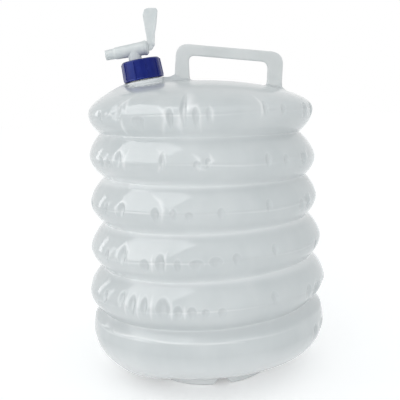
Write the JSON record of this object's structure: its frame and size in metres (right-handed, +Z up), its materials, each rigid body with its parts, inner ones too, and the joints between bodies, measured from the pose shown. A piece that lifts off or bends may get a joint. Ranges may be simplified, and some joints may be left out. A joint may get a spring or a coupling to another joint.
{
  "type": "collapsible water carrier",
  "caption": "Collapsible bellows water carrier with a loop carry handle, a screw cap on a tilted neck and a swivelling lever tap.",
  "frame": {"origin": "under the middle of the body, on the surface the foot stands on", "axes": "+Z up along the axis of the bellows; the neck, cap and tap are toward -X and the handle runs along X"},
  "size_m": [0.274, 0.274, 0.4174],
  "materials": {
    "bottle_plastic": "natural, milky translucent low-density polyethylene, soft gloss, crumpled along the crests of the folds",
    "cap_plastic": "navy blue moulded plastic, smooth gloss",
    "tap_plastic": "natural white moulded plastic, satin",
    "seal_rubber": "soft grey rubber, matt"
  },
  "bodies": {
    "base": {"base_shell": "bottle_plastic", "fold_wall_1": "bottle_plastic"},
    "crest_2": {"crest_ring_2": "bottle_plastic", "fold_wall_2": "bottle_plastic"},
    "crest_3": {"crest_ring_3": "bottle_plastic", "fold_wall_3": "bottle_plastic"},
    "crest_4": {"crest_ring_4": "bottle_plastic", "fold_wall_4": "bottle_plastic"},
    "crest_5": {"crest_ring_5": "bottle_plastic", "fold_wall_5": "bottle_plastic"},
    "top": {"top_shell": "bottle_plastic", "threaded_neck": "bottle_plastic", "carry_handle": "bottle_plastic"},
    "seal": {"seal_washer": "seal_rubber"},
    "cap": {"screw_cap": "cap_plastic"},
    "tap": {"tap_body": "tap_plastic"},
    "lever": {"tap_lever": "tap_plastic"}
  },
  "joints": [
    {"name": "fold_1", "type": "slide", "parent": "base", "child": "crest_2", "axis": [0, 0, 1], "range_m": [-0.037, 0], "deforming": ["fold_wall_1"]},
    {"name": "fold_2", "type": "slide", "parent": "crest_2", "child": "crest_3", "axis": [0, 0, 1], "range_m": [-0.037, 0], "deforming": ["fold_wall_2"]},
    {"name": "fold_3", "type": "slide", "parent": "crest_3", "child": "crest_4", "axis": [0, 0, 1], "range_m": [-0.037, 0], "deforming": ["fold_wall_3"]},
    {"name": "fold_4", "type": "slide", "parent": "crest_4", "child": "crest_5", "axis": [0, 0, 1], "range_m": [-0.037, 0], "deforming": ["fold_wall_4"]},
    {"name": "fold_5", "type": "slide", "parent": "crest_5", "child": "top", "axis": [0, 0, 1], "range_m": [-0.037, 0], "deforming": ["fold_wall_5"]},
    {"name": "cap_lift", "type": "slide", "parent": "top", "child": "seal", "axis": [-0.1458, 0, 0.9893], "range_m": [0, 0.015]},
    {"name": "cap_turn", "type": "hinge", "parent": "seal", "child": "cap", "pos_m": [-0.06199, 0, 0.33872], "axis": [-0.1458, 0, 0.9893], "range_deg": [0, 1080]},
    {"name": "tap_swivel", "type": "hinge", "parent": "cap", "child": "tap", "pos_m": [-0.06714, 0, 0.33797], "axis": [-0.1458, 0, 0.9893], "range_deg": [-180, 180]},
    {"name": "lever_turn", "type": "hinge", "parent": "tap", "child": "lever", "pos_m": [-0.07217, 0, 0.3721], "axis": [0.9893, 0, 0.1458], "range_deg": [-90, 90]}
  ],
  "couplings": [
    {"joint": "fold_2", "follows": "fold_1", "ratio": 1},
    {"joint": "fold_3", "follows": "fold_1", "ratio": 1},
    {"joint": "fold_4", "follows": "fold_1", "ratio": 1},
    {"joint": "fold_5", "follows": "fold_1", "ratio": 1},
    {"joint": "cap_turn", "follows": "cap_lift", "rad_per_m": 1256.6}
  ]
}
